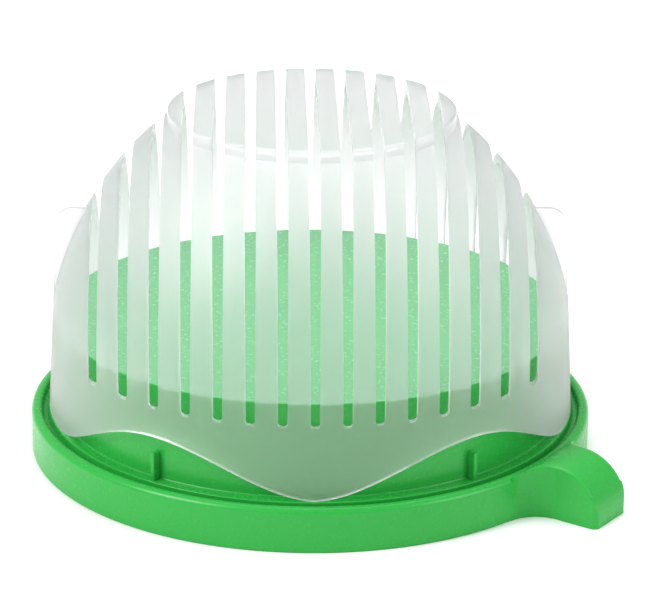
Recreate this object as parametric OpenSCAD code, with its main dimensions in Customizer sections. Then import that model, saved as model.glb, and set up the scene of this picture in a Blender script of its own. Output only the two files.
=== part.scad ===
// Salad cutter bowl: a slotted dome bowl that stands upside down over a raised
// chopping board. The knife runs down the slots, the bowl is lifted and turned a
// quarter, and the knife runs down the slots again.
// Millimetres, +Z up. The origin is on the bowl's axis, at the level of the table.

/* [Bowl] */
// Outer radius of the bowl at its rim
bowl_r = 92.2; // [76:0.1:112]
// Height of the bowl from its rim to its foot
bowl_h = 107; // [88:0.5:130]
// Thickness of the bowl's wall
bowl_wall = 2.2; // [1.6:0.1:3]
// Lean of the straight lower wall, in degrees
wall_lean = 3; // [1:0.5:4]
// Height of the straight lower wall
wall_h = 39; // [36:0.5:46]
// Radius of the curve that the dome is turned from
dome_curve_r = 109; // [95:1:140]
// Radius of the flat round foot
foot_r = 49.7; // [40:0.1:56]
// Height of the foot's upright edge
foot_edge_h = 4.2; // [3:0.1:6]

/* [Knife slots] */
// Distance from one slot to the next
slot_pitch = 10.6; // [8:0.1:14]
// Width of a slot at its lower end
slot_low_w = 3; // [2.5:0.1:3.4]
// Width of a slot at the foot
slot_top_w = 4; // [3.4:0.1:4]
// Height of the slots' lower ends above the rim
slot_floor_h = 25.4; // [23:0.1:31]
// Radius of the corners at a slot's lower end
slot_corner_r = 1.1; // [0.6:0.1:1.2]
// Least plain wall left beside the last slot
side_land = 12; // [10:0.5:18]

/* [Wavy rim] */
// Height of the arches in the rim
arch_h = 16; // [13:0.5:20]
// Angle from the bowl's front to the crown of the first arch
arch_turn = 36; // [33:0.5:38]
// Angle from the bowl's front to the far end of the first arch
arch_end = 70; // [66:0.5:76]

/* [Ears] */
// Height of the ears' flat top above the rim
ear_top_h = 71; // [60:0.5:76]
// Thickness of an ear
ear_t = 2; // [1.6:0.1:3]
// Radius of an ear's outer corner
ear_corner_r = 5.5; // [3:0.5:8]

/* [Base] */
// Height of the ledge that the bowl stands on
ledge_h = 15.4; // [12:0.1:20]
// Height of the chopping board above the ledge
board_rise = 33; // [24:0.5:36]
// Thickness of the chopping board
board_t = 3; // [2.4:0.1:4]
// Gap all round between the chopping board and the bowl
seat_gap = 0.45; // [0.35:0.05:1]
// How far the ledge reaches out past the bowl
ledge_margin = 0.2; // [0:0.05:0.5]
// Thickness of the base's walls
base_wall = 2.4; // [1.8:0.1:3]
// Width of the juice groove
groove_w = 2.4; // [1.6:0.1:4]
// Depth of the juice groove
groove_d = 3; // [1.5:0.1:4.5]
// Width of the ring outside the groove
ring_w = 3.8; // [3:0.1:6]
// Height of the ring above the ledge
ring_lip = 0.2; // [0:0.1:2]
// Radius of the ring's outer top edge
ring_round = 2.2; // [1:0.1:2.4]
// Thickness of the cross web under the board
web_t = 2.4; // [1.8:0.1:4]
// Radius of the boss in the middle of the web
boss_r = 6; // [4:0.5:10]

/* [Turn stops] */
// Height of the stops above the ledge
stop_h = 9.8; // [6:0.1:11]
// Thickness of a stop
stop_t = 1.7; // [1.4:0.1:3]
// How far the stops keep back from the ledge's edge
stop_inset = 0.8; // [0.5:0.1:1.6]

/* [Handle] */
// Angle of the handle behind the right-hand side, in degrees
handle_turn = -36.2; // [-60:0.1:60]
// Width of the handle
handle_w = 19.8; // [14:0.1:30]
// How far the handle reaches out from the ring
handle_reach = 25.2; // [20:0.1:32]
// Height of the handle's crest
handle_h = 19.2; // [17:0.1:22]
// Radius of the handle's side outline
handle_curve_r = 17; // [14:0.1:20]
// Radius of the corners at the handle's tip
handle_corner_r = 2.5; // [1:0.1:4]
// Radius of the blend from the handle's sides to the ring
handle_blend_r = 12; // [6:0.5:14]

/* [Hidden] */
$fn = 96;
FINE = 240;
OVER = 1;       // how far a cut runs past a face
JOIN = 0.2;     // how far one shape runs into the one it joins

lean_rise = tan(wall_lean);
shoulder_h = bowl_h - foot_edge_h;

// Radius of the bowl's straight outer wall at a height above the rim
function wall_r(h) = bowl_r - h * lean_rise;
// Centre of a curve of radius r through points a and b, on the side of the axis
function curve_centre(a, b, r) =
    let (half = (b - a) / 2, span = norm(half), rise = sqrt(r * r - span * span))
    a + half + rise / span * [-half[1], half[0]];

knee = [wall_r(wall_h), wall_h];
shoulder = [foot_r, shoulder_h];
dome_centre = curve_centre(knee, shoulder, dome_curve_r);
room_curve_r = dome_curve_r - bowl_wall;
room_centre = curve_centre(
    knee - [bowl_wall, 0],
    shoulder + (dome_centre - shoulder) * bowl_wall / dome_curve_r,
    room_curve_r);

slots_a_side = floor((wall_r(slot_floor_h) - side_land) / slot_pitch);

// Edge of the rim, as its height at an angle from the bowl's front
function flank(share, power) = pow(sin(90 * share), 2 * power);
function rim_edge(turn) = turn < arch_turn
    ? arch_h * flank(turn / arch_turn, 0.83)
    : arch_h * flank((arch_end - turn) / (arch_end - arch_turn), 0.85);
ARCH_STEPS = 40;
arch_points = [for (i = [0 : ARCH_STEPS])
    let (turn = arch_end * i / ARCH_STEPS) [bowl_r * sin(turn), max(rim_edge(turn), 0)]];

board_h = ledge_h + board_rise;
board_r = wall_r(board_rise) - bowl_wall - seat_gap;
drum_r = board_r + board_rise * tan(1);
ledge_r = bowl_r + ledge_margin;
ring_in_r = ledge_r + groove_w;
ring_r = ring_in_r + ring_w;
ring_h = ledge_h + ring_lip;
ring_inner_round = ring_w - ring_round - 0.4;
underside_h = ledge_h - groove_d - base_wall;
stop_turns = [arch_turn, 180 - arch_turn, 180 + arch_turn, -arch_turn];
handle_tip = ring_r + handle_reach;
handle_axis_h = handle_h - handle_curve_r;
handle_axis_r = handle_tip - handle_curve_r;

// ---- Bowl ----

// Half outline of the bowl, or with an inset, of the room inside its wall
module bowl_outline(centre, curve_r, inset, low) {
    intersection() {
        polygon([
            [0, low],
            [wall_r(low) - inset, low],
            [wall_r(shoulder_h) - inset, shoulder_h],
            [0, shoulder_h]
        ]);
        union() {
            translate([0, low])
                square([bowl_r + OVER, wall_h - OVER - low]);
            translate(centre) circle(r = curve_r, $fn = FINE);
        }
    }
    square([foot_r - inset, bowl_h - inset]);
}

module ear() {
    low = wall_h - ear_corner_r;
    top_r = wall_r(ear_top_h);
    rotate([90, 0, 0])
        linear_extrude(height = ear_t, center = true) {
            polygon([
                [foot_r, low],
                [wall_r(low) - JOIN, low],
                [wall_r(ear_top_h - ear_corner_r), ear_top_h - ear_corner_r],
                [foot_r, ear_top_h - ear_corner_r]
            ]);
            translate([foot_r, ear_top_h - ear_corner_r - JOIN])
                square([top_r - foot_r - ear_corner_r, ear_corner_r + JOIN]);
            translate([top_r - ear_corner_r, ear_top_h - ear_corner_r])
                circle(r = ear_corner_r);
        }
}

// One slot, as a tall wedge that runs right through the bowl from front to back
module slot() {
    low = slot_low_w / 2;
    top = slot_top_w / 2;
    rotate([90, 0, 0])
        linear_extrude(height = 2 * bowl_r + 2 * OVER, center = true) {
            polygon([
                [-low, slot_floor_h + slot_corner_r],
                [low, slot_floor_h + slot_corner_r],
                [top, bowl_h + OVER],
                [-top, bowl_h + OVER]
            ]);
            for (side = [-1, 1])
                translate([side * (low - slot_corner_r), slot_floor_h + slot_corner_r])
                    circle(r = slot_corner_r);
            translate([-(low - slot_corner_r), slot_floor_h])
                square([slot_low_w - 2 * slot_corner_r, slot_corner_r + JOIN]);
        }
}

module rim_arches() {
    rotate([90, 0, 0])
        linear_extrude(height = 2 * bowl_r + 2 * OVER, center = true)
            for (side = [0, 1])
                mirror([side, 0])
                    polygon(concat(arch_points,
                        [[arch_points[ARCH_STEPS][0], -OVER], [0, -OVER]]));
}

module bowl() {
    color([0.92, 0.94, 0.93, 0.7])
        translate([0, 0, ledge_h])
            difference() {
                union() {
                    rotate_extrude($fn = FINE) bowl_outline(dome_centre, dome_curve_r, 0, 0);
                    for (side = [0, 1])
                        mirror([side, 0, 0]) ear();
                }
                rotate_extrude($fn = FINE)
                    bowl_outline(room_centre, room_curve_r, bowl_wall, -OVER);
                for (i = [-slots_a_side : slots_a_side])
                    translate([i * slot_pitch, 0, 0]) slot();
                rim_arches();
            }
}

// ---- Base ----

// Half outline of the base: board, ledge, groove and ring, over the open underside
module base_outline() {
    difference() {
        union() {
            square([ring_r, ledge_h - groove_d]);
            square([ledge_r, ledge_h]);
            polygon([
                [0, ledge_h - JOIN],
                [drum_r, ledge_h - JOIN],
                [board_r, board_h],
                [0, board_h]
            ]);
            ring_outline();
        }
        translate([-OVER, -OVER])
            square([ring_r - base_wall + OVER, underside_h + OVER]);
        translate([-OVER, -OVER])
            square([ledge_r - base_wall + OVER, ledge_h - base_wall + OVER]);
        polygon([
            [-OVER, 0],
            [drum_r - base_wall, 0],
            [drum_r - base_wall, ledge_h],
            [board_r - base_wall, board_h - board_t],
            [-OVER, board_h - board_t]
        ]);
    }
}

module ring_outline() {
    translate([ring_in_r, ledge_h - groove_d - JOIN])
        square([ring_w, ring_h - ring_round - ledge_h + groove_d + JOIN]);
    translate([ring_r - ring_round, ring_h - ring_round])
        circle(r = ring_round);
    translate([ring_in_r + ring_inner_round, ring_h - ring_round - JOIN])
        square([ring_w - ring_round - ring_inner_round, ring_round + JOIN]);
    translate([ring_in_r, ring_h - ring_round - JOIN])
        square([ring_inner_round, ring_round - ring_inner_round + JOIN]);
    translate([ring_in_r + ring_inner_round, ring_h - ring_inner_round])
        circle(r = ring_inner_round);
}

// Two crossed walls under the board, and the boss in their middle, which stand on the table
module cross_web() {
    ring_reach = ring_r - base_wall / 2;
    ledge_reach = ledge_r - base_wall / 2;
    drum_reach = drum_r - base_wall / 2;
    board_reach = board_r - base_wall / 2;
    ceiling = board_h - board_t + JOIN;
    for (turn = [0, 90])
        rotate([90, 0, turn])
            linear_extrude(height = web_t, center = true)
                for (side = [0, 1])
                    mirror([side, 0])
                        polygon([
                            [-JOIN, 0],
                            [ring_reach, 0],
                            [ring_reach, underside_h + JOIN],
                            [ledge_reach, underside_h + JOIN],
                            [ledge_reach, ledge_h - base_wall + JOIN],
                            [drum_reach, ledge_h - base_wall + JOIN],
                            [board_reach, ceiling],
                            [-JOIN, ceiling]
                        ]);
    cylinder(r = boss_r, h = ceiling);
}

// A short upright fin under each arch, which stops the bowl from turning while it is down
module turn_stops() {
    for (turn = stop_turns)
        rotate([0, 0, turn - 90])
            translate([board_r - base_wall / 2, -stop_t / 2, ledge_h - JOIN])
                cube([ledge_r - stop_inset - board_r + base_wall / 2, stop_t, stop_h + JOIN]);
}

// Plan of the handle along +X, from a root out to its tip
module handle_plan(root, inset, corner) {
    half = handle_w / 2 - inset;
    tip = handle_tip - inset;
    translate([root, -half])
        square([tip - corner - root, 2 * half]);
    translate([root, -half + corner])
        square([tip - root, 2 * (half - corner)]);
    for (side = [-1, 1])
        translate([tip - corner, side * (half - corner)])
            circle(r = corner);
}

// The blends where the handle's sides meet the ring
module handle_blends() {
    away = handle_w / 2 + handle_blend_r;
    reach = sqrt(pow(ring_r + handle_blend_r, 2) - away * away);
    ring_touch = ring_r * reach / (ring_r + handle_blend_r);
    ring_away = ring_r * away / (ring_r + handle_blend_r);
    for (side = [0, 1])
        mirror([0, side])
            difference() {
                polygon([
                    [0, 0],
                    [reach, 0],
                    [reach, handle_w / 2],
                    [ring_touch, ring_away]
                ]);
                translate([reach, away]) circle(r = handle_blend_r, $fn = FINE);
            }
}

// Side outline of the handle: it rises from the ring and rounds down to the table
module handle_side(inset) {
    rotate([90, 0, 0])
        linear_extrude(height = 4 * handle_w, center = true)
            intersection() {
                translate([handle_axis_r, handle_axis_h])
                    circle(r = handle_curve_r - inset, $fn = FINE);
                translate([0, -OVER])
                    square([handle_tip, handle_h + 2 * OVER]);
            }
}

module handle() {
    rotate([0, 0, handle_turn])
        difference() {
            intersection() {
                linear_extrude(height = handle_h) {
                    handle_plan(0, 0, handle_corner_r);
                    handle_blends();
                }
                handle_side(0);
            }
            translate([0, 0, -OVER])
                cylinder(r = ring_r - base_wall + JOIN, h = handle_h + 2 * OVER, $fn = FINE);
            intersection() {
                translate([0, 0, -OVER])
                    linear_extrude(height = handle_h)
                        handle_plan(ring_r, base_wall, handle_corner_r / 2);
                handle_side(base_wall);
            }
        }
}

module base() {
    color([0.25, 0.72, 0.33]) {
        rotate_extrude($fn = FINE) base_outline();
        cross_web();
        turn_stops();
        handle();
    }
}

base();
bowl();
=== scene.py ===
import math
import bmesh
import bpy
from mathutils import Matrix, Vector


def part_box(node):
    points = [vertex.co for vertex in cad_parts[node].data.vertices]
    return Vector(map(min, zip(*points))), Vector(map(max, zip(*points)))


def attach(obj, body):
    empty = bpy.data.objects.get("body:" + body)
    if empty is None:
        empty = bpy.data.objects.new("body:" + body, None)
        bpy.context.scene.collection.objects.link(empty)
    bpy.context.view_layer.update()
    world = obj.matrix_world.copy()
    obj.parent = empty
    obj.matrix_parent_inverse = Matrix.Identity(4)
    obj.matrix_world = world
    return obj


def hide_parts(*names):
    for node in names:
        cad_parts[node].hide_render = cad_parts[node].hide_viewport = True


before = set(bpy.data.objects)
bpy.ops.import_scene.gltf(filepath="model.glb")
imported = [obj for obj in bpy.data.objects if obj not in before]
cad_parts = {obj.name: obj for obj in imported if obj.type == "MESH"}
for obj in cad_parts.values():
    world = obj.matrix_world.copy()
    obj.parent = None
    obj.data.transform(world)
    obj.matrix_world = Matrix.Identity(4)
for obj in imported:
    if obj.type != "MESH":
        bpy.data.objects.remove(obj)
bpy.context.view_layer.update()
mm = 0.001
near = 0.1 * mm  # two places closer than this count as one
aligned = 0.9  # how closely a direction has to follow an axis to count as along it
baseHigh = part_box("base")[1]
bowlLow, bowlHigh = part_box("bowl")
print("frame loaded:", sorted(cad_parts))


# leaves edit mode and drops the selection, so that the next operator acts on one piece only
def clearSelection():
    if bpy.context.object and bpy.context.object.mode != "OBJECT":
        bpy.ops.object.mode_set(mode="OBJECT")
    bpy.ops.object.select_all(action="DESELECT")


def useOnly(piece):
    clearSelection()
    piece.select_set(True)
    bpy.context.view_layer.objects.active = piece


def keepAs(name):
    piece = bpy.context.object
    piece.name = piece.data.name = name
    return piece


def settle(piece):  # puts the place, turn and size into the mesh
    useOnly(piece)
    bpy.ops.object.transform_apply(location=True, rotation=True, scale=True)


def middle(edge):
    return (edge.verts[0].co + edge.verts[1].co) / 2


def along(edge):
    return (edge.verts[1].co - edge.verts[0].co).normalized()


# selects the verts, edges or faces that a test picks, in edit mode
def pick(piece, kind, test):
    bpy.ops.mesh.select_mode(type=kind)
    bpy.ops.mesh.select_all(action="DESELECT")
    mesh = bmesh.from_edit_mesh(piece.data)
    for element in {"VERT": mesh.verts, "EDGE": mesh.edges, "FACE": mesh.faces}[kind]:
        if test(element):
            element.select = True
    mesh.select_flush_mode()
    bmesh.update_edit_mesh(piece.data)


def applyModifier(piece, kind, **values):
    useOnly(piece)
    modifier = piece.modifiers.new(kind.lower(), kind)
    for key, value in values.items():
        setattr(modifier, key, value)
    bpy.ops.object.modifier_apply(modifier=modifier.name)


# joins a tool to a piece, cuts it away or keeps what both hold, then removes the tool
def combine(piece, operation, tool):
    applyModifier(piece, "BOOLEAN", operation=operation, object=tool, solver="EXACT")
    bpy.data.objects.remove(tool)


def addBox(name, low, high):
    clearSelection()
    bpy.ops.mesh.primitive_cube_add(size=1, location=[(a + b) / 2 for a, b in zip(low, high)])
    piece = keepAs(name)
    piece.scale = [b - a for a, b in zip(low, high)]
    settle(piece)
    return piece


# a round bar lying along Y, through (x, z)
def addBar(name, x, z, radius, length, sides):
    clearSelection()
    bpy.ops.mesh.primitive_cylinder_add(
        vertices=sides, radius=radius, depth=length, location=(x, 0, z), rotation=(math.pi / 2, 0, 0))
    piece = keepAs(name)
    settle(piece)
    return piece


# an outline of (radius, height, rounding) corners, with each rounded corner drawn as an arc
def roundedOutline(corners, steps=5):
    outline = []
    for index, (radius, height, rounding) in enumerate(corners):
        here = Vector((radius, height))
        if not rounding:
            outline.append(here)
            continue
        back = (Vector(corners[index - 1][:2]) - here).normalized()
        ahead = (Vector(corners[index + 1][:2]) - here).normalized()
        half = back.angle(ahead) / 2
        centre = here + (back + ahead).normalized() * rounding / math.sin(half)
        start = here + back * rounding / math.tan(half) - centre
        end = here + ahead * rounding / math.tan(half) - centre
        for step in range(steps + 1):
            share = step / steps
            outline.append(centre + (start * (1 - share) + end * share).normalized() * rounding)
    return outline


# turns a closed wall from an outline that runs from the middle out, round and back to the middle
def turnSolid(name, outline, sides):
    clearSelection()
    bpy.ops.mesh.primitive_circle_add(
        vertices=sides, radius=outline[0][0], fill_type="TRIFAN", location=(0, 0, outline[0][1]))
    piece = keepAs(name)
    bpy.ops.object.mode_set(mode="EDIT")
    bpy.ops.mesh.select_mode(type="EDGE")
    bpy.ops.mesh.select_all(action="DESELECT")
    bpy.ops.mesh.select_non_manifold()
    for here, there in zip(outline, outline[1:]):
        rise = there[1] - here[1]
        spread = there[0] / here[0]
        bpy.ops.mesh.extrude_region_move(TRANSFORM_OT_translate={"value": (0, 0, rise)})
        bpy.ops.transform.resize(value=(spread, spread, 1), center_override=(0, 0, 0))
    bpy.ops.mesh.extrude_region_move(TRANSFORM_OT_translate={"value": (0, 0, 0)})
    bpy.ops.mesh.merge(type="CENTER")
    bpy.ops.mesh.select_all(action="SELECT")
    bpy.ops.mesh.normals_make_consistent(inside=False)
    bpy.ops.object.mode_set(mode="OBJECT")
    settle(piece)
    return piece


def finishSurface(piece, smoothAngle):
    useOnly(piece)
    bpy.ops.object.mode_set(mode="EDIT")
    bpy.ops.mesh.select_all(action="SELECT")
    bpy.ops.mesh.remove_doubles(threshold=0.01 * mm)
    bpy.ops.object.mode_set(mode="OBJECT")
    bpy.ops.object.shade_smooth_by_angle(angle=math.radians(smoothAngle))
    # the large flat faces keep their own direction beside small rounded edges
    applyModifier(piece, "WEIGHTED_NORMAL", keep_sharp=True)


# centre of a curve of a given radius through two points, on the side of the axis
def curveCentre(first, second, radius):
    half = (second - first) / 2
    rise = math.sqrt(radius ** 2 - half.length ** 2)
    return first + half + Vector((-half.y, half.x)).normalized() * rise


def curvePoints(first, second, radius, steps):
    centre = curveCentre(first, second, radius)
    start = math.atan2(first.y - centre.y, first.x - centre.x)
    end = math.atan2(second.y - centre.y, second.x - centre.x)
    angles = [start + (end - start) * step / steps for step in range(steps + 1)]
    return [(centre.x + radius * math.cos(a), centre.y + radius * math.sin(a)) for a in angles]


# the upturned bowl; heights are above its rim
bowl = {
    "sides": 240,
    "rimRadius": bowlHigh.x,
    "height": bowlHigh.z - bowlLow.z,
    "wall": 2.2 * mm,
    "lean": math.radians(3),
    "kneeHeight": 39 * mm,
    "domeCurve": 109 * mm,
    "domeSteps": 26,
    "wallSteps": 9,
    "footRadius": 49.7 * mm,
    "footEdge": 4.2 * mm,
    "footRings": (0.1, 0.35, 0.6, 0.8),  # shares of the foot's radius
    "footRounding": 0.8 * mm,
    "roomRounding": 0.6 * mm,
    "roomStep": 0.5 * mm,
    "edgeRounding": 0.5 * mm,
    "archHeight": 16 * mm,
    "archTurn": 36,  # degrees from the front to the top of an arch
    "archEnd": 70,
    "frontSwell": 0.83,  # a lower number makes a rounder arch
    "sideSwell": 0.85,
    "waveReach": 24.5 * mm,
    "slots": 15,
    "slotPitch": 10.6 * mm,
    "slotLowWidth": 3 * mm,
    "slotTopWidth": 4 * mm,
    "slotFloor": 25.4 * mm,
    "slotCorner": 1.1 * mm,
    "slotOver": 3 * mm,  # how far the cutters stand out above the foot
    "slotReach": 5 * mm,
    "earTop": 71 * mm,
    "earThick": 2 * mm,
    "earCorner": 5.5 * mm,
    "earInside": 66 * mm,
    "earOutside": 93 * mm,
    "earOverlap": 4 * mm,
    "earCornerFrom": 85 * mm,
    "earEdgeFrom": 80 * mm,
    "earEdge": 0.35 * mm,
    "earSkin": 0.03 * mm,  # keeps the fin just under the wall's surface where they meet
    "smoothAngle": 32,
}


def wallRadius(height):
    return bowl["rimRadius"] - height * math.tan(bowl["lean"])


# height of the rim's edge at an angle from the front; the wave repeats in each quarter
def rimWave(x, y):
    turn = math.degrees(math.atan2(abs(x), abs(y)))
    if turn < bowl["archTurn"]:
        share, power = turn / bowl["archTurn"], bowl["frontSwell"]
    else:
        share = (bowl["archEnd"] - turn) / (bowl["archEnd"] - bowl["archTurn"])
        power = bowl["sideSwell"]
    return math.sin(math.radians(90 * max(share, 0))) ** (2 * power)


def makeBowl():
    wall, rounding = bowl["wall"], bowl["edgeRounding"]
    height, foot, kneeHeight = bowl["height"], bowl["footRadius"], bowl["kneeHeight"]
    knee = Vector((wallRadius(kneeHeight), kneeHeight))
    shoulder = Vector((foot, height - bowl["footEdge"]))
    dome = curvePoints(knee, shoulder, bowl["domeCurve"], bowl["domeSteps"])
    inward = (curveCentre(knee, shoulder, bowl["domeCurve"]) - shoulder).normalized()
    roomKnee = knee - Vector((wall, 0))
    roomCurve = curvePoints(roomKnee, shoulder + inward * wall, bowl["domeCurve"] - wall, bowl["domeSteps"])
    roomDome = [point for point in roomCurve if point[0] > foot - wall]
    wallRings = [kneeHeight * step / bowl["wallSteps"] for step in range(1, bowl["wallSteps"])]

    corners = [(foot * share, height, 0) for share in bowl["footRings"]]
    corners += [(foot, height, bowl["footRounding"])]
    corners += [(r, z, 0) for r, z in reversed(dome)]
    corners += [(wallRadius(z), z, 0) for z in reversed(wallRings)]
    corners += [(wallRadius(0), 0, rounding), (wallRadius(0) - wall, 0, rounding)]
    corners += [(wallRadius(z) - wall, z, 0) for z in wallRings]
    corners += [(r, z, 0) for r, z in roomDome]
    corners += [(foot - wall, roomDome[-1][1] + bowl["roomStep"], 0)]
    corners += [(foot - wall, height - wall, bowl["roomRounding"])]
    corners += [(foot * share, height - wall, 0) for share in reversed(bowl["footRings"])]
    lift = bowlLow.z
    outline = [(point[0], point[1] + lift) for point in roundedOutline(corners)]
    piece = turnSolid("frosted_bowl", outline, bowl["sides"])

    # the wave in the rim, as a lift that fades out below the slots
    wave = piece.vertex_groups.new(name="rimWave")
    for vert in piece.data.vertices:
        fade = max(1 - (vert.co.z - lift) / bowl["waveReach"], 0)
        wave.add([vert.index], rimWave(vert.co.x, vert.co.y) * fade, "REPLACE")
    applyModifier(piece, "DISPLACE", direction="Z", mid_level=0, strength=bowl["archHeight"],
                  vertex_group=wave.name)
    piece.vertex_groups.clear()

    for side in (1, -1):
        combine(piece, "UNION", makeEar(side))
    combine(piece, "DIFFERENCE", makeSlotCutters())
    finishSurface(piece, bowl["smoothAngle"])
    return piece


# a thin upright fin that carries the lower wall's line up beside the dome
def makeEar(side):
    thick, lift = bowl["earThick"] / 2, bowlLow.z
    top = bowl["earTop"] + lift
    ear = addBox("ear", (bowl["earInside"], -thick, bowl["kneeHeight"] - bowl["earOverlap"] + lift),
                 (bowl["earOutside"], thick, top))
    bpy.ops.object.mode_set(mode="EDIT")
    bpy.ops.mesh.select_all(action="SELECT")
    bpy.ops.mesh.bisect(
        plane_co=(wallRadius(0) - bowl["earSkin"], 0, lift),
        plane_no=(math.cos(bowl["lean"]), 0, math.sin(bowl["lean"])),
        use_fill=True, clear_outer=True)
    # the upper outer corner is rounded, then the edges of both faces that show
    pick(ear, "EDGE", lambda edge: middle(edge).z > top - near and middle(edge).x > bowl["earCornerFrom"]
         and abs(along(edge).y) > aligned)
    bpy.ops.mesh.bevel(offset=bowl["earCorner"], segments=10)
    pick(ear, "EDGE", lambda edge: abs(middle(edge).y) > thick - near
         and (middle(edge).z > top - near or middle(edge).x > bowl["earEdgeFrom"]))
    bpy.ops.mesh.bevel(offset=bowl["earEdge"], segments=2)
    bpy.ops.object.mode_set(mode="OBJECT")
    # the inner side follows the dome, half way through its wall
    knee = Vector((wallRadius(bowl["kneeHeight"]), bowl["kneeHeight"]))
    shoulder = Vector((bowl["footRadius"], bowl["height"] - bowl["footEdge"]))
    sink = Vector((bowl["wall"] / 2, 0))
    dome = curvePoints(knee - sink, shoulder - sink, bowl["domeCurve"] - bowl["wall"] / 2, 24)
    firstRing = 8 * mm
    outline = [(firstRing, lift), (knee.x - sink.x, lift)] + [(r, z + lift) for r, z in dome]
    combine(ear, "DIFFERENCE", turnSolid("room", outline, bowl["sides"]))
    if side < 0:
        useOnly(ear)
        bpy.ops.object.mode_set(mode="EDIT")
        bpy.ops.mesh.select_all(action="SELECT")
        bpy.ops.transform.rotate(value=math.pi, orient_axis="Z", center_override=(0, 0, 0))
        bpy.ops.object.mode_set(mode="OBJECT")
    return ear


# one long wedge that is wider at the top, rounded along its foot and repeated across the bowl
def makeSlotCutters():
    low, high = bowl["slotLowWidth"], bowl["slotTopWidth"]
    floor, height, lift = bowl["slotFloor"], bowl["height"], bowlLow.z
    reach = bowl["rimRadius"] + bowl["slotReach"]
    top = height + bowl["slotOver"] + lift
    cutter = addBox("slots", (-high / 2, -reach, floor + lift), (high / 2, reach, top))
    bpy.ops.object.mode_set(mode="EDIT")
    pick(cutter, "FACE", lambda face: face.normal.z < -aligned)
    bpy.ops.transform.resize(value=(low / high, 1, 1), center_override=(0, 0, 0))
    pick(cutter, "EDGE", lambda edge: middle(edge).z < floor + lift + near and abs(along(edge).y) > aligned)
    bpy.ops.mesh.bevel(offset=bowl["slotCorner"], segments=5)
    first = -(bowl["slots"] - 1) / 2 * bowl["slotPitch"]
    bpy.ops.mesh.select_all(action="SELECT")
    bpy.ops.transform.translate(value=(first, 0, 0))
    bpy.ops.object.mode_set(mode="OBJECT")
    applyModifier(cutter, "ARRAY", count=bowl["slots"], use_relative_offset=False,
                  use_constant_offset=True, constant_offset_displace=(bowl["slotPitch"], 0, 0))
    return cutter


# the base; heights are above the table, but a stop's is above the ledge
base = {
    "sides": 240,
    "ringRadius": baseHigh.y,
    "boardHeight": baseHigh.z,
    "boardRadius": 87.8 * mm,
    "boardThick": 3 * mm,
    "boardEdge": 0.7 * mm,
    "boardRings": (0.08, 0.3, 0.55, 0.8, 0.95),  # shares of the board's radius
    "drumRadius": 88.4 * mm,
    "drumRounding": 0.6 * mm,
    "ledgeHeight": bowlLow.z,
    "ledgeRadius": 92.4 * mm,
    "ledgeRounding": 0.35 * mm,
    "grooveDepth": 3 * mm,
    "grooveWidth": 2.4 * mm,
    "grooveRounding": 0.9 * mm,
    "ringLip": 0.2 * mm,
    "ringInnerRound": 1.2 * mm,
    "ringRound": 2.2 * mm,
    "footOuterRound": 0.6 * mm,
    "footInnerRound": 0.5 * mm,
    "wall": 2.4 * mm,
    "hollowRounding": 0.8 * mm,
    "bossRadius": 6 * mm,
    "bossSides": 48,
    "webThick": 2.4 * mm,
    "webSink": 1 * mm,  # how far the webs and the boss run up into the board
    "webGap": 0.5 * mm,
    "stopTurns": (36, 144, 216, 324),  # degrees from the front
    "stopHeight": 9.8 * mm,
    "stopThick": 1.7 * mm,
    "stopInset": 0.8 * mm,
    "stopSink": 1 * mm,
    "stopEdge": 0.4 * mm,
    "smoothAngle": 32,
}

# the hooked handle; its height is above the table and its reach is beyond the ring
handle = {
    "turn": math.radians(-36.2),
    "width": 19.8 * mm,
    "reach": 25.2 * mm,
    "height": 19.2 * mm,
    "curve": 17 * mm,
    "tipCorner": 2.5 * mm,
    "cornerSteps": 12,
    "blend": 12 * mm,
    "edge": 0.9 * mm,
    "rollSides": 160,
    "rootDepth": 6 * mm,  # how far the block runs into the ring before it is cut to the ring's curve
    "rootGap": 0.2 * mm,
    "over": 2 * mm,
    "under": 1 * mm,
}


def makeBase():
    wall, ledge, ring = base["wall"], base["ledgeHeight"], base["ringRadius"]
    board, drum, ledgeRadius = base["boardRadius"], base["drumRadius"], base["ledgeRadius"]
    top, ringTop = base["boardHeight"], ledge + base["ringLip"]
    groove = ledge - base["grooveDepth"]
    grooveOut = ledgeRadius + base["grooveWidth"]
    ceiling = top - base["boardThick"]
    hollow = base["hollowRounding"]

    corners = [(board * share, top, 0) for share in base["boardRings"]]
    corners += [
        (board, top, base["boardEdge"]),
        ((board + drum) / 2, (top + ledge) / 2, 0),
        (drum, ledge, base["drumRounding"]),
        (ledgeRadius, ledge, base["ledgeRounding"]),
        (ledgeRadius, groove, base["grooveRounding"]),
        (grooveOut, groove, base["grooveRounding"]),
        (grooveOut, ringTop, base["ringInnerRound"]),
        (ring, ringTop, base["ringRound"]),
        (ring, 0, base["footOuterRound"]),
        (ring - wall, 0, base["footInnerRound"]),
        (ring - wall, groove - wall, hollow),
        (ledgeRadius - wall, groove - wall, hollow),
        (ledgeRadius - wall, ledge - wall, hollow),
        (drum - wall, ledge - wall, hollow),
        (board - wall, ceiling, hollow),
    ]
    corners += [(board * share, ceiling, 0) for share in reversed(base["boardRings"][:-1])]
    piece = turnSolid("chopping_base", roundedOutline(corners), base["sides"])

    addWeb(piece, ledge, ring, drum, ceiling)
    stop = makeStop()
    for turn in base["stopTurns"]:
        combine(piece, "UNION", turnedCopy(stop, math.radians(turn - 90)))
    bpy.data.objects.remove(stop)
    addHandle(piece)
    finishSurface(piece, base["smoothAngle"])
    return piece


def turnedCopy(piece, angle):
    double = piece.copy()
    double.data = piece.data.copy()
    bpy.context.collection.objects.link(double)
    double.rotation_euler = (0, 0, angle)
    settle(double)
    return double


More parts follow.
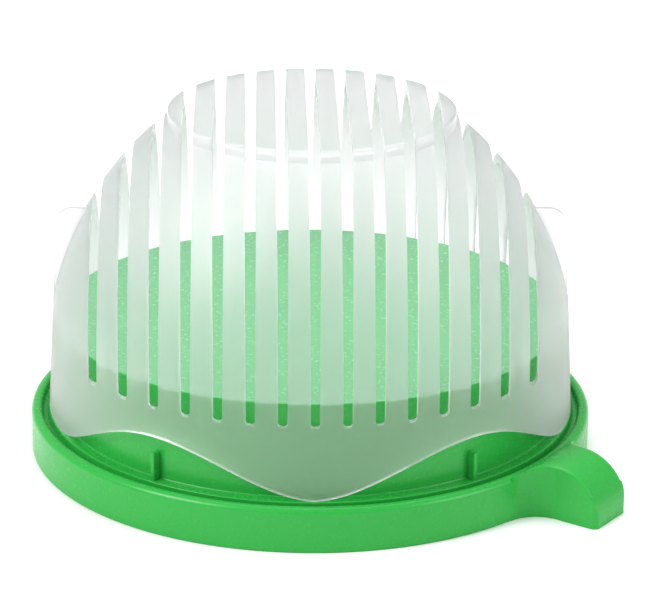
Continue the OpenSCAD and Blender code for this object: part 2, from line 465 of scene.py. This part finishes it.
# the crossed walls and the boss that carry the board from below
def addWeb(piece, ledge, ring, drum, ceiling):
    half, wall = base["webThick"] / 2, base["wall"]
    low = ledge - base["grooveDepth"] - wall / 2
    top = ceiling + base["webSink"]
    ringReach, drumReach = ring - wall / 2, drum - wall / 2 - base["webGap"]
    for long, deep in ((ringReach, half), (half, ringReach)):
        combine(piece, "UNION", addBox("web", (-long, -deep, 0), (long, deep, low)))
    for long, deep in ((drumReach, half), (half, drumReach)):
        combine(piece, "UNION", addBox("web", (-long, -deep, low / 2), (long, deep, top)))
    clearSelection()
    bpy.ops.mesh.primitive_cylinder_add(
        vertices=base["bossSides"], radius=base["bossRadius"], depth=top, location=(0, 0, top / 2))
    boss = keepAs("boss")
    settle(boss)
    combine(piece, "UNION", boss)


# a short upright fin between the drum and the ledge's edge
def makeStop():
    half, ledge = base["stopThick"] / 2, base["ledgeHeight"]
    outer, top = base["ledgeRadius"] - base["stopInset"], ledge + base["stopHeight"]
    stop = addBox("stop", (base["drumRadius"] - base["wall"] / 2, -half, ledge - base["stopSink"]),
                  (outer, half, top))
    bpy.ops.object.mode_set(mode="EDIT")
    pick(stop, "EDGE", lambda edge: middle(edge).x > outer - near or middle(edge).z > top - near)
    bpy.ops.mesh.bevel(offset=base["stopEdge"], segments=3)
    bpy.ops.object.mode_set(mode="OBJECT")
    return stop


# draws a closed outline point by point in the XY plane, then raises it between two heights
def raiseOutline(name, outline, low, high):
    clearSelection()
    bpy.ops.mesh.primitive_plane_add(size=1 * mm, location=(0, 0, low))
    piece = keepAs(name)
    bpy.ops.object.mode_set(mode="EDIT")
    bpy.ops.mesh.select_mode(type="VERT")
    bpy.ops.mesh.select_all(action="SELECT")
    bpy.ops.mesh.merge(type="CENTER")
    bpy.ops.transform.translate(value=(outline[0][0], outline[0][1], 0))
    for here, there in zip(outline, outline[1:]):
        step = (there[0] - here[0], there[1] - here[1], 0)
        bpy.ops.mesh.extrude_region_move(TRANSFORM_OT_translate={"value": step})
    bpy.ops.mesh.select_all(action="SELECT")
    bpy.ops.mesh.edge_face_add()
    bpy.ops.mesh.extrude_region_move(TRANSFORM_OT_translate={"value": (0, 0, high - low)})
    bpy.ops.mesh.select_all(action="SELECT")
    bpy.ops.mesh.normals_make_consistent(inside=False)
    bpy.ops.object.mode_set(mode="OBJECT")
    settle(piece)
    return piece


# the handle's block along +X; with a margin, the smaller block that hollows its underside
def handleBlock(margin):
    ring, blend, corner = base["ringRadius"], handle["blend"], handle["tipCorner"]
    half, tip = handle["width"] / 2 - margin, ring + handle["reach"]
    if margin:
        plan = [(ring, half, 0), (tip, half, corner), (tip, -half, corner), (ring, -half, 0)]
        low = -handle["under"]
    else:
        # each side sweeps out into the ring on a hollow curve that touches both
        sweep = math.asin((half + blend) / (ring + blend))
        touch = Vector((ring * math.cos(sweep), ring * math.sin(sweep)))
        bend = Vector(((ring - half * math.sin(sweep)) / math.cos(sweep), half))
        start = bend + (touch - bend) * 1.02  # a little past the touch, so the arc starts on the line
        root = touch * (ring - handle["rootDepth"]) / ring
        upper = [(root.x, root.y, 0), (start.x, start.y, 0), (bend.x, bend.y, blend), (tip, half, corner)]
        plan = upper + [(x, -y, rounding) for x, y, rounding in reversed(upper)]
        low = 0
    outline = roundedOutline(plan, handle["cornerSteps"])
    block = raiseOutline("handle", outline, low, handle["height"] + handle["over"])
    roll = addBar("roll", tip - handle["curve"], handle["height"] - handle["curve"],
                  handle["curve"] - margin, 4 * handle["width"], handle["rollSides"])
    combine(block, "INTERSECT", roll)
    return block


# an edge where one of the handle's upright sides meets its rounded top, from the ring to the tip's corner
def isShoulder(edge):
    sides = [face for face in edge.link_faces if abs(face.normal.z) < 0.01 and abs(face.normal.y) > 0.02]
    place, ring, clear = middle(edge), base["ringRadius"], 1 * mm
    corner = ring + handle["reach"] - handle["tipCorner"]
    return len(sides) == 1 and place.z > clear and place.x < corner + near and place.xy.length > ring + clear


def addHandle(piece):
    block = handleBlock(0)
    useOnly(block)
    bpy.ops.object.mode_set(mode="EDIT")
    pick(block, "EDGE", isShoulder)
    bpy.ops.mesh.bevel(offset=handle["edge"], segments=4, clamp_overlap=False)
    bpy.ops.object.mode_set(mode="OBJECT")
    # the root is cut to the ring's own curve, inside its wall
    clearSelection()
    bpy.ops.mesh.primitive_cylinder_add(
        vertices=base["sides"], radius=base["ringRadius"] - base["wall"] + handle["rootGap"],
        depth=3 * handle["height"], location=(0, 0, 0))
    combine(block, "DIFFERENCE", keepAs("inside"))
    combine(block, "DIFFERENCE", handleBlock(base["wall"]))
    useOnly(block)
    block.rotation_euler = (0, 0, handle["turn"])
    settle(block)
    combine(piece, "UNION", block)


finishes = {
    "grainSize": 900,
    "flowSize": 14,
    "green": (0.024, 0.36, 0.052, 1),
    "greenDeep": (0.019, 0.33, 0.043, 1),
    "greenRoughness": 0.27,
    "greenUneven": 0.015,
    "greenBump": 0.006,
    "greenIor": 1.49,
    "greenGloss": 0.3,
    "greenScatter": 0.15,
    "greenScatterTint": (0.3, 1.0, 0.4),
    "greenScatterDepth": 4 * mm,
    # paler colour on the board's top: mostly a painted sheen, and also the colour of the real knife
    # scratches
    "boardSheenAndScuff": (0.2, 0.5, 0.26, 1),
    "boardPaintedSheen": 0.85,  # how far the paler colour, a painted sheen, covers the board between the knife lines
    "knifeLines": (1400, 5),  # changes to the metre across a cut and along it
    "knifeFaint": 0.6,  # a line starts to show here in the noise, and shows fully at the next value
    "knifeStrong": 0.8,
    "frost": (0.87, 0.86, 0.88, 1),
    "frostRoughness": 0.5,
    "frostUneven": 0.04,
    "frostBump": 0.05,
    "frostIor": 1.48,
    "frostTransmission": 0.95,
    "frostShade": 0.5,  # how much of the light for other surfaces the wall holds back
}


# fine unevenness of a moulded surface, shared by both plastics
def makeMouldedSkin():
    group = bpy.data.node_groups.new("mouldedSkin", "ShaderNodeTree")
    for socket, size in (("Grain Size", finishes["grainSize"]), ("Flow Size", finishes["flowSize"])):
        entrySocket = group.interface.new_socket(socket, in_out="INPUT", socket_type="NodeSocketFloat")
        entrySocket.default_value = size
    for socket in ("Grain", "Flow"):
        group.interface.new_socket(socket, in_out="OUTPUT", socket_type="NodeSocketFloat")
    nodes, links = group.nodes, group.links
    entry, leave = nodes.new("NodeGroupInput"), nodes.new("NodeGroupOutput")
    place = nodes.new("ShaderNodeTexCoord")
    for size, result, detail in (("Grain Size", "Grain", 3), ("Flow Size", "Flow", 2)):
        noise = nodes.new("ShaderNodeTexNoise")
        noise.inputs["Detail"].default_value = detail
        links.new(place.outputs["Object"], noise.inputs["Vector"])
        links.new(entry.outputs[size], noise.inputs["Scale"])
        links.new(noise.outputs["Fac"], leave.inputs[result])
    return group


# fine knife lines that cross at a right angle, as the bowl is turned between cuts
def makeKnifeMarks():
    group = bpy.data.node_groups.new("knifeMarks", "ShaderNodeTree")
    group.interface.new_socket("Marks", in_out="OUTPUT", socket_type="NodeSocketFloat")
    nodes, links = group.nodes, group.links
    leave, place = nodes.new("NodeGroupOutput"), nodes.new("ShaderNodeTexCoord")
    both = nodes.new("ShaderNodeMath")
    both.operation = "MAXIMUM"
    fine, long = finishes["knifeLines"]
    for index, stretch in enumerate(((fine, long, 1), (long, fine, 1))):
        mapping = nodes.new("ShaderNodeMapping")
        mapping.inputs["Scale"].default_value = stretch
        noise = nodes.new("ShaderNodeTexNoise")
        noise.inputs["Scale"].default_value = 1
        noise.inputs["Detail"].default_value = 1
        links.new(place.outputs["Object"], mapping.inputs["Vector"])
        links.new(mapping.outputs["Vector"], noise.inputs["Vector"])
        lines = mapRange(nodes, links, noise.outputs["Fac"], 0, 1,
                         finishes["knifeFaint"], finishes["knifeStrong"])
        links.new(lines, both.inputs[index])
    links.new(both.outputs["Value"], leave.inputs["Marks"])
    return group


def startMaterial(name):
    material = bpy.data.materials.new(name)
    material.use_nodes = True
    nodes, links = material.node_tree.nodes, material.node_tree.links
    skin = nodes.new("ShaderNodeGroup")
    skin.node_tree = mouldedSkin
    return material, nodes, links, nodes["Principled BSDF"], skin


# stretches a value from start and end to low and high
def mapRange(nodes, links, source, low, high, start=0, end=1):
    node = nodes.new("ShaderNodeMapRange")
    node.inputs["From Min"].default_value = start
    node.inputs["From Max"].default_value = end
    node.inputs["To Min"].default_value = low
    node.inputs["To Max"].default_value = high
    links.new(source, node.inputs["Value"])
    return node.outputs["Result"]


def addRoughness(nodes, links, shader, source, rough, uneven):
    links.new(mapRange(nodes, links, source, rough - uneven, rough + uneven), shader.inputs["Roughness"])


def addBump(nodes, links, shader, height, strength, distance):
    bump = nodes.new("ShaderNodeBump")
    bump.inputs["Strength"].default_value = strength
    bump.inputs["Distance"].default_value = distance
    links.new(height, bump.inputs["Height"])
    links.new(bump.outputs["Normal"], shader.inputs["Normal"])


def makeGreenPlastic():
    material, nodes, links, shader, skin = startMaterial("glossy_green_plastic")
    blend = nodes.new("ShaderNodeMix")
    blend.data_type = "RGBA"
    blend.inputs[6].default_value = finishes["green"]
    blend.inputs[7].default_value = finishes["greenDeep"]
    links.new(skin.outputs["Flow"], blend.inputs[0])
    # the board's top is painted paler as a painted sheen of the bright surroundings, with a few knife lines
    # as real scratches
    place, split = nodes.new("ShaderNodeTexCoord"), nodes.new("ShaderNodeSeparateXYZ")
    links.new(place.outputs["Object"], split.inputs["Vector"])
    top = base["boardHeight"]
    onBoard = mapRange(nodes, links, split.outputs["Z"], 0, 1, top - 4 * near, top - near)
    marks = nodes.new("ShaderNodeGroup")
    marks.node_tree = knifeMarks
    # share of the paler colour: painted sheen over the whole top, and full colour on the knife lines, which
    # are real scratches
    sheenAndScuff = nodes.new("ShaderNodeMath")
    sheenAndScuff.operation = "MULTIPLY"
    links.new(onBoard, sheenAndScuff.inputs[0])
    links.new(mapRange(nodes, links, marks.outputs["Marks"], finishes["boardPaintedSheen"], 1), sheenAndScuff.inputs[1])
    board = nodes.new("ShaderNodeMix")
    board.data_type = "RGBA"
    board.inputs[7].default_value = finishes["boardSheenAndScuff"]
    links.new(sheenAndScuff.outputs["Value"], board.inputs[0])
    links.new(blend.outputs[2], board.inputs[6])
    links.new(board.outputs[2], shader.inputs["Base Color"])
    addRoughness(nodes, links, shader, skin.outputs["Grain"],
                 finishes["greenRoughness"], finishes["greenUneven"])
    shader.inputs["IOR"].default_value = finishes["greenIor"]
    shader.inputs["Specular IOR Level"].default_value = finishes["greenGloss"]
    shader.inputs["Subsurface Weight"].default_value = finishes["greenScatter"]
    shader.inputs["Subsurface Radius"].default_value = finishes["greenScatterTint"]
    shader.inputs["Subsurface Scale"].default_value = finishes["greenScatterDepth"]
    addBump(nodes, links, shader, skin.outputs["Grain"], finishes["greenBump"], 0.2 * mm)
    return material


def makeFrostedPlastic():
    material, nodes, links, shader, skin = startMaterial("frosted_clear_plastic")
    shader.inputs["Base Color"].default_value = finishes["frost"]
    addRoughness(nodes, links, shader, skin.outputs["Flow"],
                 finishes["frostRoughness"], finishes["frostUneven"])
    shader.inputs["IOR"].default_value = finishes["frostIor"]
    shader.inputs["Transmission Weight"].default_value = finishes["frostTransmission"]
    # part of the light that is on its way to other surfaces goes straight through the thin wall
    path = nodes.new("ShaderNodeLightPath")
    passing = nodes.new("ShaderNodeMath")
    passing.operation = "MAXIMUM"
    links.new(path.outputs["Is Shadow Ray"], passing.inputs[0])
    links.new(path.outputs["Is Diffuse Ray"], passing.inputs[1])
    cover = mapRange(nodes, links, passing.outputs["Value"], 1, finishes["frostShade"])
    links.new(cover, shader.inputs["Alpha"])
    addBump(nodes, links, shader, skin.outputs["Grain"], finishes["frostBump"], 0.3 * mm)
    return material


# a long lens from the front and above, over a pale floor
studio = {
    "camera": (-19.4 * mm, -1017.5 * mm, 425.8 * mm),
    "aim": (6.0 * mm, 0, 49.5 * mm),
    "roll": math.radians(0.49),
    "lens": 169.5,
    "floor": 6,
    "floorColour": (0.92, 0.92, 0.92, 1),
    "floorRoughness": 0.6,
    "worldStrength": 0.58,
    "lights": {
        "key": {"at": (-1.4, -0.7, 1.4), "size": 1.1, "power": 34},
        "fill": {"at": (1.4, -0.7, 0.9), "size": 1.0, "power": 12},
        "back": {"at": (0.1, 0.6, 1.8), "size": 1.4, "power": 22},
    },
}


def makeCamera():
    data = bpy.data.cameras.new("camera")
    data.lens = studio["lens"]
    data.clip_end = 50
    camera = bpy.data.objects.new("camera", data)
    bpy.context.collection.objects.link(camera)
    camera.location = studio["camera"]
    look = (Vector(studio["aim"]) - camera.location).to_track_quat("-Z", "Y").to_matrix().to_4x4()
    camera.rotation_euler = (look @ Matrix.Rotation(studio["roll"], 4, "Z")).to_euler()
    bpy.context.scene.camera = camera


def makeStudio():
    clearSelection()
    bpy.ops.mesh.primitive_plane_add(size=studio["floor"], location=(0, 0, 0))
    floor = keepAs("floor")
    material = bpy.data.materials.new("pale_floor")
    material.use_nodes = True
    shader = material.node_tree.nodes["Principled BSDF"]
    shader.inputs["Base Color"].default_value = studio["floorColour"]
    shader.inputs["Roughness"].default_value = studio["floorRoughness"]
    floor.data.materials.append(material)
    for name, light in studio["lights"].items():
        data = bpy.data.lights.new(name, "AREA")
        data.shape = "DISK"
        data.size = light["size"]
        data.energy = light["power"]
        lamp = bpy.data.objects.new(name, data)
        bpy.context.collection.objects.link(lamp)
        lamp.location = light["at"]
        lamp.rotation_euler = (-lamp.location).to_track_quat("-Z", "Y").to_euler()
    world = bpy.data.worlds.new("studio")
    world.use_nodes = True
    sky = world.node_tree.nodes["Background"]
    sky.inputs["Color"].default_value = (1, 1, 1, 1)
    sky.inputs["Strength"].default_value = studio["worldStrength"]
    bpy.context.scene.world = world
    bpy.context.scene.view_settings.view_transform = "Standard"


# gives a finished piece its material and its place in the frame
def dress(piece, node, body, material):
    piece.data.materials.clear()
    piece.data.materials.append(material)
    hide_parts(node)
    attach(piece, body)


makeCamera()
makeStudio()
print("camera, floor and lights placed")
mouldedSkin = makeMouldedSkin()
knifeMarks = makeKnifeMarks()
basePiece = makeBase()
dress(basePiece, "base", "base", makeGreenPlastic())
print("base made:", len(basePiece.data.polygons), "faces")
bowlPiece = makeBowl()
dress(bowlPiece, "bowl", "bowl", makeFrostedPlastic())
print("bowl made:", len(bowlPiece.data.polygons), "faces")
